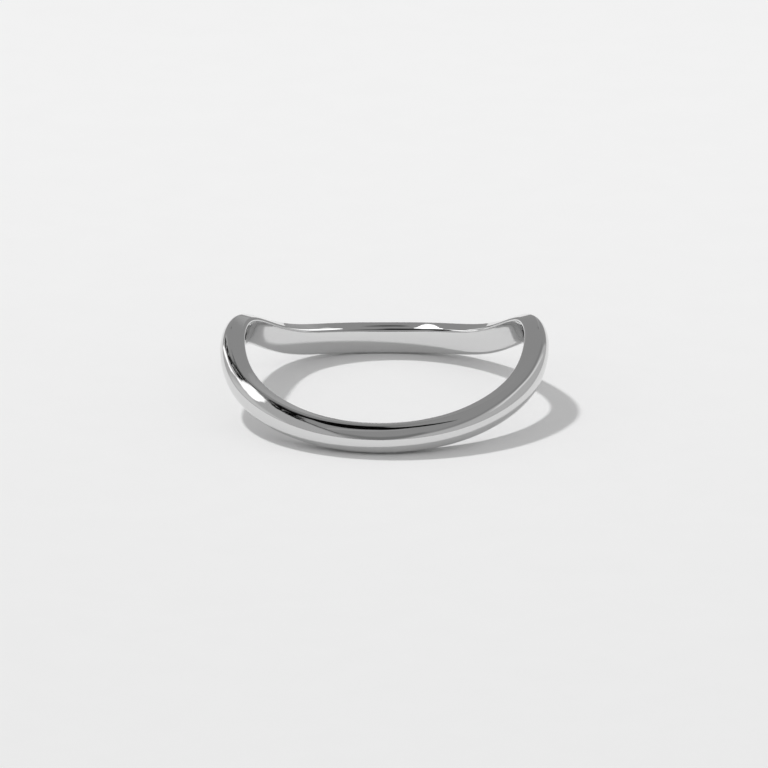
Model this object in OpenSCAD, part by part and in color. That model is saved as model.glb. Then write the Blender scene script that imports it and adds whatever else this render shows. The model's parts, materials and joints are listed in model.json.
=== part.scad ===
// Curved wedding band: one closed hoop of D-shaped wire round the finger hole.
// It lies on the middle of its front and on its back, and both sides swing up.
// X points to the right side, Y to the back, Z along the finger; the lowest point is at z = 0.

/* [Finger hole] */
// Diameter of the finger hole at its narrowest, the upper edge
finger_d = 17.3; // [14:0.1:22]

/* [Section] */
// Width of the band, along the finger
band_w = 1.76; // [1.4:0.02:2.6]
// Thickness of the band, from the finger hole outwards
band_t = 1.45; // [1.2:0.01:2.2]
// Depth of the flat sides, up to where the rounded outside begins
flank_t = 0.93; // [0.5:0.01:1]
// Radius of the two soft edges along the finger hole
edge_r = 0.29; // [0.1:0.01:0.45]
// Fullness of the rounded outside: 2 is an ellipse, less is more pointed
crown_power = 1.8; // [1.5:0.02:3]
// Lean of the section, its top inwards over the finger, in degrees
top_lean = 10; // [0:0.5:14]

/* [Wave] */
// Rise of both sides, as the front and the back dip by as much
side_rise = 1.32; // [0:0.02:1.6]
// Narrowing of the two side crests, which also lifts the middle of front and back
crest_rise = 0.25; // [0:0.01:0.4]
// Lift of the back over the front
back_lift = 0.16; // [0:0.01:0.3]
// Shift of the two crests towards the back
crest_shift = 0.29; // [0:0.01:0.4]
// Dip of the back on both sides of its middle, and straightening of the front
back_dip = 0.20; // [0:0.01:0.3]
// Sharpening of the turn from the crests into the back
turn_in = 0.065; // [0:0.005:0.1]
// Softening of the crest tops
crest_soften = 0.02; // [0:0.005:0.05]
// Height of the right side over the left, halved
side_lean = 0.08; // [0:0.01:0.2]

/* [Hidden] */

finger_r = finger_d / 2;
path_r = finger_r + band_t / 2;
half_w = band_w / 2;

// The leaning section reaches this far into the finger hole, and the round hole then trims it
hole_overlap = 0.02;
stations = 144;
crown_steps = 14;
edge_steps = 4;
hole_facets = 288;
hole_h = 4 * (side_rise + band_w);

// Columns of the wave: swings in one turn, height of the cosine part, height of the sine part
wave = [
    [1, side_lean, back_lift],
    [2, side_rise, 0],
    [3, 0, crest_shift],
    [4, crest_rise, 0],
    [5, 0, back_dip],
    [7, 0, turn_in],
    [8, -crest_soften, 0]
];
swings = 0;
cos_h = 1;
sin_h = 2;

function total(values) = values * [for (v = values) 1];

// Height of the band's middle over its mean, at an angle from the right side
function path_z(angle) =
    total([for (row = wave) row[cos_h] * cos(row[swings] * angle) + row[sin_h] * sin(row[swings] * angle)]);

// Climb of the path there, in degrees
function path_climb(angle) =
    atan2(
        total([for (row = wave)
            row[swings] * (row[sin_h] * cos(row[swings] * angle) - row[cos_h] * sin(row[swings] * angle))]),
        path_r
    );

function full_pow(x) = sign(x) * pow(abs(x), 2 / crown_power);

// Upright section as [depth, place along the finger], from the top round the outside
crown = [for (i = [0 : crown_steps])
    let (angle = 90 - 180 * i / crown_steps)
    [flank_t + (band_t - flank_t) * full_pow(cos(angle)), half_w * full_pow(sin(angle))]
];

function soft_edge(side, start) = [for (i = [0 : edge_steps])
    let (angle = start - 90 * i / edge_steps)
    [edge_r, side * (half_w - edge_r)] + edge_r * [cos(angle), sin(angle)]
];

upright = concat(crown, soft_edge(-1, -90), soft_edge(1, 180));

// The section leans about its middle, and its upper inner edge then sets the finger hole's radius
function leaned(p) =
    let (out = p.x - band_t / 2)
    [out * cos(top_lean) - p.y * sin(top_lean), p.y * cos(top_lean) + out * sin(top_lean)];

leaning = [for (p = upright) leaned(p)];
narrowest = min([for (p = leaning) p.x]);
section = [for (p = leaning) [p.x - narrowest - hole_overlap, p.y]];
section_count = len(section);

// A section stands square to the path, so its points turn back round the finger as the path climbs
function swept_point(angle, climb, mid_z, p) =
    let (r = finger_r + p.x, turned = angle - sin(climb) * p.y / r * 180 / PI)
    [r * cos(turned), r * sin(turned), mid_z + cos(climb) * p.y];

sweep_points = [for (i = [0 : stations - 1])
    let (angle = 360 * i / stations, climb = path_climb(angle), mid_z = path_z(angle))
    for (p = section) swept_point(angle, climb, mid_z, p)
];
lowest_z = min([for (p = sweep_points) p.z]);

function at(i, j) = (i % stations) * section_count + j % section_count;

sweep_faces = [for (i = [0 : stations - 1], j = [0 : section_count - 1])
    each [
        [at(i, j), at(i + 1, j), at(i + 1, j + 1)],
        [at(i, j), at(i + 1, j + 1), at(i, j + 1)]
    ]
];

// Wavy hoop, trimmed to the round finger hole along its upper inner edge
module band() {
    color("silver")
    translate([0, 0, -lowest_z])
    difference() {
        polyhedron(points = sweep_points, faces = sweep_faces, convexity = 6);
        cylinder(h = hole_h, r = finger_r, center = true, $fn = hole_facets);
    }
}

band();
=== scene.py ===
import json
import math

import bmesh
import bpy
from mathutils import Matrix, Vector


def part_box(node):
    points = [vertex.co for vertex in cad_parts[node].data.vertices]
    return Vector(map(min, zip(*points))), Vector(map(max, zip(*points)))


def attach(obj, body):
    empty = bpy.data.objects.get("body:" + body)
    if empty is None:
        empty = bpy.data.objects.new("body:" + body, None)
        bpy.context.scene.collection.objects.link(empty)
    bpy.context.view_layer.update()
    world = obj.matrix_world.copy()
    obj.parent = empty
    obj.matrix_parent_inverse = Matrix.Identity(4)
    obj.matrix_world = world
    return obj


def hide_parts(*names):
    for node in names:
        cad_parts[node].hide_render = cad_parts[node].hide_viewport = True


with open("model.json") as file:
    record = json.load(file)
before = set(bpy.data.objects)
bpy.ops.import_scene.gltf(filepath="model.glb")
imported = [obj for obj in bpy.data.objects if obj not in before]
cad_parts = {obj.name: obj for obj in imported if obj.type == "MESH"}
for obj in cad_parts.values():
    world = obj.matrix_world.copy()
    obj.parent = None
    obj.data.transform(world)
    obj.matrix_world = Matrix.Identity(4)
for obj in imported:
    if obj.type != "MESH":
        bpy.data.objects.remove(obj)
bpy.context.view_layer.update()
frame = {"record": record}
mm = 0.001


# Wraps one output socket, so that sums and products on it become Math nodes
class Signal:
    def __init__(self, sheet, socket):
        self.sheet = sheet
        self.socket = socket

    def __add__(self, other):
        return self.sheet.maths("ADD", self, other)

    def __sub__(self, other):
        return self.sheet.maths("SUBTRACT", self, other)

    def __rsub__(self, other):
        return self.sheet.maths("SUBTRACT", other, self)

    def __mul__(self, other):
        return self.sheet.maths("MULTIPLY", self, other)

    def __truediv__(self, other):
        return self.sheet.maths("DIVIDE", self, other)

    __radd__ = __add__
    __rmul__ = __mul__


# One node tree, with a method for Math nodes and one for every other node
class ShaderSheet:
    def __init__(self, tree):
        self.tree = tree
        tree.nodes.clear()

    def node(self, kind, settings=None, sockets=None):
        made = self.tree.nodes.new(kind)
        for name, value in (settings or {}).items():
            setattr(made, name, value)
        for name, value in (sockets or {}).items():
            if isinstance(value, Signal):
                self.tree.links.new(value.socket, made.inputs[name])
            else:
                made.inputs[name].default_value = value
        return made

    def signal(self, kind, settings=None, sockets=None, out=0):
        return Signal(self, self.node(kind, settings, sockets).outputs[out])

    def maths(self, operation, *values):
        return self.signal("ShaderNodeMath", {"operation": operation}, dict(enumerate(values)))

    def vector(self, operation, *values, out=0):
        return self.signal("ShaderNodeVectorMath", {"operation": operation}, dict(enumerate(values)), out)

    def rise(self, value, low, high):
        return self.signal("ShaderNodeMapRange", {"interpolation_type": "SMOOTHSTEP"},
                           {"Value": value, "From Min": low, "From Max": high})

    def noise(self, place, scale, detail):
        return self.signal("ShaderNodeTexNoise", {}, {"Vector": place, "Scale": scale, "Detail": detail})

    def mix(self, share, first, second):
        return share * (second - first) + first

    def grey(self, value):
        return self.signal("ShaderNodeCombineColor", {}, {"Red": value, "Green": value, "Blue": value})


# Band: the wire's section is spun round the finger, then bent up and down along the finger
band = {
    "bandWidth": 1.76 * mm,
    "thickness": 1.45 * mm,
    "flankDepth": 0.93 * mm,       # flat sides before the rounded outside begins
    "edgeRadius": 0.29 * mm,       # soft edges along the finger hole
    "crownPower": 1.8,             # fullness of the rounded outside
    "topLeanDeg": 10.0,            # the section's top leans in over the finger
    "holeTrim": 0.02 * mm,         # the round finger hole trims the upper inner edge by this
    "crownSteps": 36,
    "edgeSteps": 10,
    "boreSteps": 10,
    "flankSteps": 2,
    "aroundSteps": 720,
    "wave": (                      # swings in one turn, cosine height, sine height, in mm
        (1, 0.08, 0.16),
        (2, 1.32, 0.0),
        (3, 0.0, 0.29),
        (4, 0.25, 0.0),
        (5, 0.0, 0.20),
        (7, 0.0, 0.065),
        (8, -0.02, 0.0),
    ),
}


def fullPower(value):
    return math.copysign(abs(value) ** (2 / band["crownPower"]), value)


def pathHeight(angle):
    return sum(c * math.cos(n * angle) + s * math.sin(n * angle) for n, c, s in band["wave"]) * mm


def pathClimb(angle, pathRadius):
    rate = sum(n * (s * math.cos(n * angle) - c * math.sin(n * angle)) for n, c, s in band["wave"]) * mm
    return math.atan2(rate, pathRadius)


def sectionPoints():
    thickness = band["thickness"]
    halfWidth = band["bandWidth"] / 2
    edge = band["edgeRadius"]
    flank = band["flankDepth"]
    points = []
    for i in range(band["crownSteps"] + 1):
        turn = math.pi * (0.5 - i / band["crownSteps"])
        depth = flank + (thickness - flank) * fullPower(math.cos(turn))
        points.append((depth, halfWidth * fullPower(math.sin(turn))))
    for side in (-1, 1):
        arc = []
        for i in range(band["edgeSteps"] + 1):
            turn = math.pi / 2 * i / band["edgeSteps"]
            arc.append((edge - edge * math.sin(turn), side * (halfWidth - edge + edge * math.cos(turn))))
        if side == 1:
            arc.reverse()
            low, high = points[-1][1], arc[0][1]
            points += [(0, low + (high - low) * i / band["boreSteps"]) for i in range(1, band["boreSteps"])]
        points += arc
    return points


# Leans the section about its middle, then sets its narrowest place against the finger hole
def leanedPoints():
    lean = math.radians(band["topLeanDeg"])
    middle = band["thickness"] / 2
    leaned = []
    for depth, place in sectionPoints():
        out = depth - middle
        leaned.append((out * math.cos(lean) - place * math.sin(lean),
                       place * math.cos(lean) + out * math.sin(lean)))
    narrowest = min(depth for depth, place in leaned)
    return [(max(depth - narrowest - band["holeTrim"], 0.0), place) for depth, place in leaned]


def buildBand():
    fingerRadius = frame["record"]["mounts"][0]["dims"]["r_mm"] * mm
    lowCorner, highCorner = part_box("band")
    pathRadius = fingerRadius + band["thickness"] / 2
    section = leanedPoints()

    bm = bmesh.new()
    across = bm.verts.layers.float.new("across")
    around = bm.verts.layers.float_vector.new("polish")
    loop = [bm.verts.new((fingerRadius + depth, 0, place)) for depth, place in section]
    edges = [bm.edges.new((loop[i - 1], loop[i])) for i in range(len(loop))]
    bmesh.ops.spin(bm, geom=loop + edges, cent=(0, 0, 0), axis=(0, 0, 1), angle=2 * math.pi,
                   steps=band["aroundSteps"], use_merge=True)
    for vert in bm.verts:
        x, y, place = vert.co
        angle = math.atan2(y, x)
        radius = math.hypot(x, y)
        climb = pathClimb(angle, pathRadius)
        turned = angle - math.sin(climb) * place / radius
        vert[across] = (radius - fingerRadius - place) / mm
        vert[around] = (math.cos(turned), math.sin(turned), 0)
        vert.co = (radius * math.cos(turned), radius * math.sin(turned),
                   pathHeight(angle) + math.cos(climb) * place)
    lowest = min(vert.co.z for vert in bm.verts)
    bmesh.ops.translate(bm, verts=bm.verts, vec=(0, 0, lowCorner.z - lowest))
    bmesh.ops.recalc_face_normals(bm, faces=bm.faces)
    for face in bm.faces:
        face.smooth = True
    mesh = bpy.data.meshes.new("polishedBand")
    bm.to_mesh(mesh)
    bm.free()
    piece = bpy.data.objects.new("polishedBand", mesh)
    bpy.context.scene.collection.objects.link(piece)
    print("band:", len(mesh.vertices), "vertices")
    return piece


whiteGold = {
    "tone": 0.735,
    "toneSpread": 0.012,
    "roughness": 0.028,
    "lineRoughness": 0.02,
    "wearRoughness": 0.03,
    "scratchRoughness": 0.08,
    "cloudScale": 700.0,
    "noiseDetail": 3.0,
    "linesAlong": 9.0,          # polish lines run along the band, so they change slowly round the finger
    "linesAcross": 14.0,        # lines for each millimetre across it
    "lineHeight": 0.000035 * mm,
    "scratchAlong": 40.0,
    "scratchAcross": 60.0,
    "scratchShare": 0.66,       # a higher value leaves fewer scratches
    "scratchFade": 0.04,
    "scratchDepth": 0.00006 * mm,
    "wearPlaces": (0.05, 1.81, -0.76),    # both shoulders and the upper inner edge are rubbed softer
    "wearWidth": 0.14,
}


def whiteGoldFinish():
    finish = bpy.data.materials.new("whiteGold")
    finish.use_nodes = True
    sheet = ShaderSheet(finish.node_tree)
    place = sheet.signal("ShaderNodeTexCoord", out="Object")
    across = sheet.signal("ShaderNodeAttribute", {"attribute_name": "across"}, out="Fac")
    around = sheet.signal("ShaderNodeAttribute", {"attribute_name": "polish"}, out="Vector")
    flow = sheet.signal("ShaderNodeCombineXYZ", {}, {"Z": across})
    lineRoom = sheet.vector("ADD", sheet.vector("MULTIPLY", around, (whiteGold["linesAlong"],) * 3),
                            sheet.vector("MULTIPLY", flow, (whiteGold["linesAcross"],) * 3))
    scratchRoom = sheet.vector("ADD", sheet.vector("MULTIPLY", around, (whiteGold["scratchAlong"],) * 3),
                               sheet.vector("MULTIPLY", flow, (whiteGold["scratchAcross"],) * 3))
    cloud = sheet.noise(place, whiteGold["cloudScale"], whiteGold["noiseDetail"])
    lines = sheet.noise(lineRoom, 1.0, whiteGold["noiseDetail"])
    share = whiteGold["scratchShare"]
    scratches = sheet.rise(sheet.noise(scratchRoom, 1.0, 0.0), share, share + whiteGold["scratchFade"])
    wear = None
    for middle in whiteGold["wearPlaces"]:
        off = sheet.maths("ABSOLUTE", across - middle)
        spot = sheet.rise(off, whiteGold["wearWidth"], 0.0)
        wear = spot if wear is None else wear + spot
    height = lines * whiteGold["lineHeight"] - scratches * whiteGold["scratchDepth"]
    bump = sheet.signal("ShaderNodeBump", {}, {"Height": height, "Distance": 1.0})
    surface = sheet.signal("ShaderNodeBsdfPrincipled", {}, {
        "Base Color": sheet.grey((cloud - 0.5) * whiteGold["toneSpread"] + whiteGold["tone"]),
        "Metallic": 1.0,
        "Roughness": (lines * whiteGold["lineRoughness"] + wear * whiteGold["wearRoughness"]
                      + scratches * whiteGold["scratchRoughness"] + whiteGold["roughness"]),
        "Normal": bump,
    })
    sheet.node("ShaderNodeOutputMaterial", {}, {"Surface": surface})
    return finish


ring = buildBand()
ring.data.materials.append(whiteGoldFinish())
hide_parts("band")
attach(ring, "root")


floor = {
    "halfSize": 2.0,
    "nearPaintedLightTone": 0.872,
    "backPaintedLightTone": 0.935,
    "toneReach": 70 * mm,       # painted light: the floor's colour grows lighter from the near tone to the back tone, reached this far before and behind the ring
    "paintedSideShadeTone": 0.5,             # painted shade: the floor's colour darkens to this on both sides, beyond the picture's edge
    "lightWidth": 26.5 * mm,    # from this far aside
    "fadeWidth": 80 * mm,       # to this far
    "mottleScale": 320.0,
    "mottle": 0.02,
    "grainScale": 2600.0,
    "grain": 0.008,
    "noiseDetail": 2.0,
    "roughness": 0.9,
    "roughnessSpread": 0.1,
    "gloss": 0.0,
}


def buildFloor():
    bm = bmesh.new()
    bmesh.ops.create_grid(bm, x_segments=1, y_segments=1, size=floor["halfSize"])
    mesh = bpy.data.meshes.new("paperFloor")
    bm.to_mesh(mesh)
    bm.free()
    piece = bpy.data.objects.new("paperFloor", mesh)
    bpy.context.scene.collection.objects.link(piece)
    finish = bpy.data.materials.new("palePaper")
    finish.use_nodes = True
    sheet = ShaderSheet(finish.node_tree)
    place = sheet.signal("ShaderNodeTexCoord", out="Object")
    split = sheet.node("ShaderNodeSeparateXYZ", {}, {"Vector": place})
    aside = sheet.maths("ABSOLUTE", Signal(sheet, split.outputs[0]))
    # painted shade: the floor's colour darkens towards both sides
    paintedSideShade = sheet.rise(aside, floor["lightWidth"], floor["fadeWidth"])
    # painted light: the floor's colour grows lighter from front to back
    depth = sheet.rise(Signal(sheet, split.outputs[1]), -floor["toneReach"], floor["toneReach"])
    mottle = sheet.noise(place, floor["mottleScale"], floor["noiseDetail"]) - 0.5
    grain = sheet.noise(place, floor["grainScale"], floor["noiseDetail"]) - 0.5
    uneven = mottle * floor["mottle"] + grain * floor["grain"] + 1.0
    lit = sheet.mix(depth, floor["nearPaintedLightTone"], floor["backPaintedLightTone"])
    tone = sheet.mix(paintedSideShade, lit, floor["paintedSideShadeTone"]) * uneven
    surface = sheet.signal("ShaderNodeBsdfPrincipled", {}, {
        "Base Color": sheet.grey(tone),
        "Roughness": grain * floor["roughnessSpread"] + floor["roughness"],
        "Specular IOR Level": floor["gloss"],
    })
    sheet.node("ShaderNodeOutputMaterial", {}, {"Surface": surface})
    piece.data.materials.append(finish)
    return piece


buildFloor()
print("floor: ready")


view = {
    "turnDeg": 1.32,            # camera round the ring from straight in front, to the right
    "elevationDeg": 19.43,
    "distance": 1.2,
    "aimX": -0.032 * mm,
    "aimZ": 1.1485 * mm,
    "frameWidth": 47.60 * mm,   # width that the picture shows at the ring
    "filmWidth": 36.0,
    "farClip": 20.0,
}


def placeCamera():
    camera = bpy.data.cameras.new("camera")
    camera.sensor_width = view["filmWidth"]
    camera.lens = view["filmWidth"] * view["distance"] / view["frameWidth"]
    camera.clip_end = view["farClip"]
    piece = bpy.data.objects.new("camera", camera)
    turn = Matrix.Rotation(math.radians(view["turnDeg"]), 4, "Z")
    tilt = math.radians(view["elevationDeg"])
    offset = Vector((view["aimX"], -math.cos(tilt) * view["distance"],
                     view["aimZ"] + math.sin(tilt) * view["distance"]))
    piece.matrix_world = turn @ Matrix.Translation(offset) @ Matrix.Rotation(math.pi / 2 - tilt, 4, "X")
    bpy.context.scene.collection.objects.link(piece)
    bpy.context.scene.camera = piece


placeCamera()
print("camera: ready")


lamp = {
    "slantX": -0.471,           # sideways and backwards for each metre of height
    "slantY": 0.585,
    "strength": 1.56,
    "spreadDeg": 4.5,
}


def placeLamp():
    light = bpy.data.lights.new("keyLamp", "SUN")
    light.energy = lamp["strength"]
    light.angle = math.radians(lamp["spreadDeg"])
    piece = bpy.data.objects.new("keyLamp", light)
    slant = Vector((lamp["slantX"], lamp["slantY"], 1))
    toLamp = Matrix.Rotation(math.radians(view["turnDeg"]), 3, "Z") @ slant
    piece.rotation_euler = toLamp.to_track_quat("Z", "Y").to_euler()
    piece.visible_glossy = False
    bpy.context.scene.collection.objects.link(piece)


placeLamp()


# Two small oval lamps over the back of the band, which mirrors each as a short white gleam.
# Their ends are seen from the rim: across and back, in degrees from overhead.
rimLamps = {
    "distance": 4.5 * mm,
    "fanDeg": 80.0,             # a narrow fan keeps the light off the front of the band
    "right": {
        "rim": (2.97 * mm, 8.92 * mm, 1.80 * mm),
        "low": (-8.5, 55.9),
        "high": (-21, 14),
        "width": 1.25 * mm,
        "radiance": 0.42,
    },
    "left": {
        "rim": (-3.98 * mm, 8.54 * mm, 1.74 * mm),
        "low": (13, 50),
        "high": (32, 0),
        "width": 1.1 * mm,
        "radiance": 0.3,
    },
}


def towards(across, back):
    fromTop = math.radians(math.hypot(across, back))
    bearing = math.atan2(across, back)
    level = math.sin(fromTop)
    return Vector((level * math.sin(bearing), level * math.cos(bearing), math.cos(fromTop)))


def placeRimLamp(side):
    place = rimLamps[side]
    rim = Vector(place["rim"])
    low = rim + towards(*place["low"]) * rimLamps["distance"]
    high = rim + towards(*place["high"]) * rimLamps["distance"]
    middle = (low + high) / 2
    outward = (middle - rim).normalized()
    sideways = (high - low).cross(outward).normalized()
    upright = outward.cross(sideways)
    light = bpy.data.lights.new("rimLamp", "AREA")
    light.shape = "ELLIPSE"
    light.spread = math.radians(rimLamps["fanDeg"])
    light.size = place["width"]
    light.size_y = (high - low).length
    ovalArea = math.pi / 4 * light.size * light.size_y
    light.energy = place["radiance"] * math.pi * ovalArea
    piece = bpy.data.objects.new("rimLamp", light)
    turn = Matrix.Rotation(math.radians(view["turnDeg"]), 4, "Z")
    facing = Matrix((sideways, upright, outward)).transposed().to_4x4()
    piece.matrix_world = turn @ Matrix.Translation(middle) @ facing
    piece.visible_diffuse = False
    piece.visible_camera = False
    bpy.context.scene.collection.objects.link(piece)


placeRimLamp("right")
placeRimLamp("left")
print("lamps: ready")


# Studio round the ring, laid out in degrees from straight overhead: across to the right, back away from
# the camera. Tones are the screen greys that the ring shows, and each ribbon runs through points of across,
# back and half width. The ribbons share three values of ragged, because a fourth costs the renderer room.
studio = {
    "wall": 133,
    "ambient": 0.55,
    "white": 1.4,               # strength of everything toned over 255
    "shake": 9.0,               # degrees that a ragged edge wanders for a ragged value of 1
    "shakeScale": 0.5,
    "shakeDetail": 2.0,
    "speckScale": 0.3,          # spots that break up a dark ribbon
    "speckStretch": (0.9, 0.7, 1),
    "speckDetail": 1.0,
    "speckRange": (0.58, 0.61),
    "least": 1e-9,              # keeps the bearing of straight overhead from dividing by nothing
    "roomTone": 168,            # beyond the room's right wall
    "roomSoft": 4,
    "room": ((57, 60), (56.5, 20), (58, -10), (58, -27), (51, -44), (42, -56), (29, -68), (16, -79),
             (-10, -95), (-95, -95), (-95, 95), (57, 95)),
}
paleEdge = {"tone": 184, "soft": 12, "points": ((-84, 60, 9), (-82, 25, 12), (-85, 0, 6), (-85, -30, 4))}
leftWall = {"tone": 160, "soft": 8, "points": (
    (-76, 50, 36), (-86, 20, 44), (-84, -20, 43), (-78, -60, 38), (-74, -90, 40))}
rightShade = {"tone": 122, "soft": 7, "share": 0.9, "points": (
    (50, 44, 5), (48, 16, 5), (52, -6, 3.5), (53, -24, 3), (45, -42, 3), (34, -54, 2), (24, -62, 2))}
rightStrip = {"tone": 215, "soft": 6, "share": 0.85, "points": (
    (62, 52, 0.5), (62, 44, 1.2), (61, 30, 2.3), (60, 22, 2.5), (58.5, 14, 3.2), (61, 2, 3), (63.5, -9, 2.2),
    (64, -20, 0))}
frontShade = {"tone": 106, "soft": 10, "share": 0.9, "points": (
    (26, -60, 4), (14, -74, 8), (-2, -80, 10), (-18, -74, 7), (-33, -58, 3))}
frontLight = {"tone": 152, "soft": 8, "ragged": 0.3, "share": 0.9, "points": (
    (-36, -42, 1), (-24, -36, 3), (-8, -34, 3.5), (6, -31, 2))}
paleGap = {"tone": 156, "soft": 10, "ragged": 0.7, "share": 0.8, "points": (
    (15, 56, 2), (12, 66, 4), (9, 80, 5))}
secondLine = {"tone": 60, "soft": 3, "ragged": 0.3, "share": 0.85, "points": (
    (-32, -12, 1.4), (-38, -17, 2.2), (-41, -23, 2.2), (-39.5, -39, 1.8), (-35, -57, 1))}
lobe = {"tone": 300, "soft": 2, "ragged": 0.3, "points": (
    (-53, 72, 1), (-57, 60, 2.6), (-59, 50, 3.2), (-62.5, 40, 2.5), (-61, 30, 0.6), (-60.5, 24, 5))}
keyPanel = {"tone": 300, "soft": 2, "ragged": 0.3, "points": (
    (-64, 9.5, 8.2), (-56, 10.5, 10), (-46, 13.5, 9), (-38, 16.5, 5.5), (-33, 20, 2.8), (-24, 25, 1.5))}
keyTop = {"tone": 300, "soft": 2, "ragged": 0.3, "points": (
    (-64, 19, 4.5), (-52, 18.5, 4.5), (-42, 18, 3))}
blackLeft = {"tone": 3, "speck": 120, "soft": 2, "ragged": 0.7, "points": (
    (-25, 19, 1.5), (-19, 16, 4), (-25, 9, 5.5), (-31, 4, 6.5), (-39, -7, 8), (-42, -19, 4.5), (-42, -26, 2))}
blackBand = {"tone": 4, "soft": 2, "ragged": 0.15, "points": (
    (-24, 2, 9), (-15, -2, 10), (-9, 4, 8), (-11, -13, 14), (-1, -16.5, 11), (9, -15.5, 6.8), (16, -18, 4.3),
    (22, -20, 2.6), (28, -21.5, 1.4), (31, -22, 0.4))}
raggedBand = {"tone": 2, "speck": 150, "soft": 2, "ragged": 0.3, "points": (
    (-47, 62, 3.4), (-49.5, 56, 4.4), (-49.5, 47, 5.4), (-49, 38, 6.3), (-45.5, 32, 5.4), (-48.5, 28, 5.2),
    (-38, 27, 4.2), (-27, 27, 3), (-17, 29, 2.2), (-12, 31, 1.2))}
rimBehind = {"tone": 88, "soft": 9, "share": 0.8, "points": (
    (-15, 27, 1), (-16, 4, 7), (-6, 8, 8), (-1, 20, 3))}
rimDark = {"tone": 45, "soft": 3, "share": 0.9, "points": (
    (-3.6, 50.6, 1.3), (0, 50, 1.5), (3, 49.8, 0.8))}
ribbons = (                     # a later ribbon covers an earlier one
    leftWall, paleEdge, rightShade, rightStrip, frontShade, frontLight, paleGap, secondLine,
    lobe, keyPanel, keyTop, blackLeft, rimBehind, blackBand, raggedBand, rimDark,
)


# Strength of the light that a polished surface of the ring's tone shows as this grey on a usual screen
def lightFor(grey):
    if grey > 255:
        return studio["white"]
    return ((grey / 255 + 0.055) / 1.055) ** 2.4 / whiteGold["tone"]


# One where the place lies inside a convex outline, with soft edges
def insideOutline(sheet, across, back, corners, soft):
    middleX = sum(corner[0] for corner in corners) / len(corners)
    middleY = sum(corner[1] for corner in corners) / len(corners)
    inside = None
    for (x0, y0), (x1, y1) in zip(corners, corners[1:] + corners[:1]):
        length = math.hypot(x1 - x0, y1 - y0)
        inX, inY = (y0 - y1) / length, (x1 - x0) / length
        if (middleX - x0) * inX + (middleY - y0) * inY < 0:
            inX, inY = -inX, -inY
        side = sheet.rise(across * inX + back * inY - (x0 * inX + y0 * inY), -soft / 2, soft / 2)
        inside = side if inside is None else inside * side
    return inside


# One where the place lies within the half width of a line through the points
def onRibbon(sheet, place, points, soft):
    nearest = None
    for (x0, y0, half0), (x1, y1, half1) in zip(points, points[1:]):
        run = Vector((x1 - x0, y1 - y0, 0))
        fromStart = sheet.vector("SUBTRACT", place, (x0, y0, 0))
        along = sheet.vector("DOT_PRODUCT", fromStart, tuple(run / run.length_squared), out=1)
        share = sheet.signal("ShaderNodeClamp", {}, {"Value": along})
        closest = sheet.vector("MULTIPLY_ADD", share, tuple(run), (x0, y0, 0))
        gap = sheet.vector("DISTANCE", place, closest, out=1) - (share * (half1 - half0) + half0)
        nearest = gap if nearest is None else sheet.maths("MINIMUM", nearest, gap)
    return sheet.rise(nearest, soft / 2, -soft / 2)


def paintStudio():
    world = bpy.data.worlds.new("studio")
    world.use_nodes = True
    bpy.context.scene.world = world
    sheet = ShaderSheet(world.node_tree)
    facing = sheet.signal("ShaderNodeTexCoord", out="Generated")
    turn = (0, 0, -math.radians(view["turnDeg"]))
    turned = sheet.signal("ShaderNodeMapping", {}, {"Vector": facing, "Rotation": turn})
    split = sheet.node("ShaderNodeSeparateXYZ", {}, {"Vector": turned})
    x, y, z = (Signal(sheet, split.outputs[i]) for i in range(3))
    flat = sheet.maths("SQRT", x * x + y * y + studio["least"])
    fromTop = sheet.maths("ARCTAN2", flat, z) * (180 / math.pi)
    across = x / flat * fromTop
    back = y / flat * fromTop
    place = sheet.signal("ShaderNodeCombineXYZ", {}, {"X": across, "Y": back})
    shake = sheet.signal("ShaderNodeTexNoise", {"noise_dimensions": "2D"}, {
        "Vector": place, "Scale": studio["shakeScale"], "Detail": studio["shakeDetail"]}, "Color")
    shake = sheet.vector("SUBTRACT", shake, (0.5, 0.5, 0.5))
    stretched = sheet.vector("MULTIPLY", place, studio["speckStretch"])
    speck = sheet.signal("ShaderNodeTexNoise", {"noise_dimensions": "2D"}, {
        "Vector": stretched, "Scale": studio["speckScale"], "Detail": studio["speckDetail"]})
    speck = sheet.rise(speck, *studio["speckRange"])
    room = insideOutline(sheet, across, back, studio["room"], studio["roomSoft"])
    tone = sheet.mix(room, lightFor(studio["roomTone"]), lightFor(studio["wall"]))
    for ribbon in ribbons:
        ragged = ribbon.get("ragged", 0) * studio["shake"]
        spot = sheet.vector("MULTIPLY_ADD", shake, (ragged, ragged, 0), place) if ragged else place
        share = onRibbon(sheet, spot, ribbon["points"], ribbon["soft"]) * ribbon.get("share", 1.0)
        paint = lightFor(ribbon["tone"])
        if "speck" in ribbon:
            paint = sheet.mix(speck, paint, lightFor(ribbon["speck"]))
        tone = sheet.mix(share, tone, paint)
    mirrored = sheet.signal("ShaderNodeBackground", {}, {"Color": sheet.grey(tone)})
    even = sheet.signal("ShaderNodeBackground", {}, {"Strength": studio["ambient"], "Color": (1, 1, 1, 1)})
    rays = sheet.node("ShaderNodeLightPath")
    glossy = Signal(sheet, rays.outputs["Is Glossy Ray"])
    shown = sheet.signal("ShaderNodeMixShader", {}, {0: glossy, 1: even, 2: mirrored})
    sheet.node("ShaderNodeOutputWorld", {}, {"Surface": shown})


paintStudio()
bpy.context.scene.view_settings.view_transform = "Standard"
print("studio: ready")
